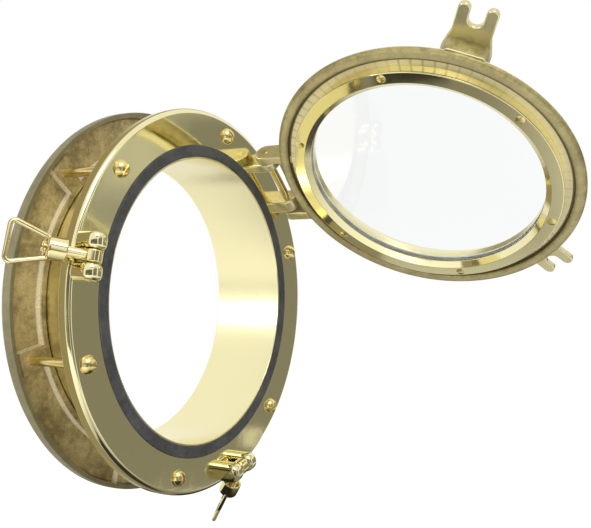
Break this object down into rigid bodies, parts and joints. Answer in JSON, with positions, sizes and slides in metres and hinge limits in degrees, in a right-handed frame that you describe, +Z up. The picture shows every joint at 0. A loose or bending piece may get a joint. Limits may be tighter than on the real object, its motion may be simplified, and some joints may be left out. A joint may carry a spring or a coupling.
{
  "type": "porthole window",
  "caption": "Round opening brass window with a flanged frame, a clamp ring for the far side of the wall and a hinged glazed leaf that swing bolts hold shut.",
  "frame": {"origin": "on the axis of the clear bore, in the plane of the flange's back, which sits on the wall", "axes": "+Z up, +Y out through the wall along the bore, -Y the side that the leaf opens to"},
  "size_m": [0.3499, 0.3087, 0.3568],
  "materials": {
    "polished_brass": "polished",
    "bright_brass": "polished",
    "ring_brass": "polished",
    "cast_brass": "as cast",
    "leaf_brass": "as cast, turned seat",
    "seal_rubber": "matt",
    "bedding": "matt",
    "window_glass": "clear"
  },
  "bodies": {
    "port": {"port_frame": "polished_brass", "gasket": "seal_rubber", "clamp_ring": "cast_brass", "clamp_screw_1": "bright_brass", "clamp_screw_2": "bright_brass", "clamp_screw_3": "bright_brass", "clamp_screw_4": "bright_brass", "clamp_screw_5": "bright_brass", "clamp_screw_6": "bright_brass", "hinge_pin": "bright_brass", "dog_pin_1": "bright_brass", "dog_pin_2": "bright_brass"},
    "leaf": {"leaf_frame": "leaf_brass", "glass": "window_glass", "glass_bedding": "bedding", "retaining_ring": "ring_brass", "ring_screw_1": "bright_brass", "ring_screw_2": "bright_brass", "ring_screw_3": "bright_brass", "ring_screw_4": "bright_brass", "ring_screw_5": "bright_brass", "ring_screw_6": "bright_brass"},
    "dog_1": {"eyebolt_1": "bright_brass"},
    "dog_2": {"eyebolt_2": "bright_brass"},
    "nut_1": {"wing_nut_1": "bright_brass"},
    "nut_2": {"wing_nut_2": "bright_brass"}
  },
  "joints": [
    {"name": "leaf_hinge", "type": "hinge", "parent": "port", "child": "leaf", "pos_m": [0.08345, -0.0195, 0.09333], "axis": [-0.7455, 0, 0.6665], "range_deg": [-90.5, 74]},
    {"name": "dog_1_swing", "type": "hinge", "parent": "port", "child": "dog_1", "pos_m": [-0.12568, -0.0165, 0.02994], "axis": [-0.2317, 0, -0.9728], "range_deg": [-124, 0]},
    {"name": "dog_2_swing", "type": "hinge", "parent": "port", "child": "dog_2", "pos_m": [0.03126, -0.0165, -0.12536], "axis": [0.9703, 0, 0.2419], "range_deg": [-124, 0]},
    {"name": "nut_1_spin", "type": "hinge", "parent": "dog_1", "child": "nut_1", "pos_m": [-0.12568, -0.0165, 0.02994], "axis": [-0.8065, 0.5592, 0.1921], "continuous": true},
    {"name": "nut_2_spin", "type": "hinge", "parent": "dog_2", "child": "nut_2", "pos_m": [0.03126, -0.0165, -0.12536], "axis": [0.2006, 0.5592, -0.8044], "continuous": true}
  ]
}
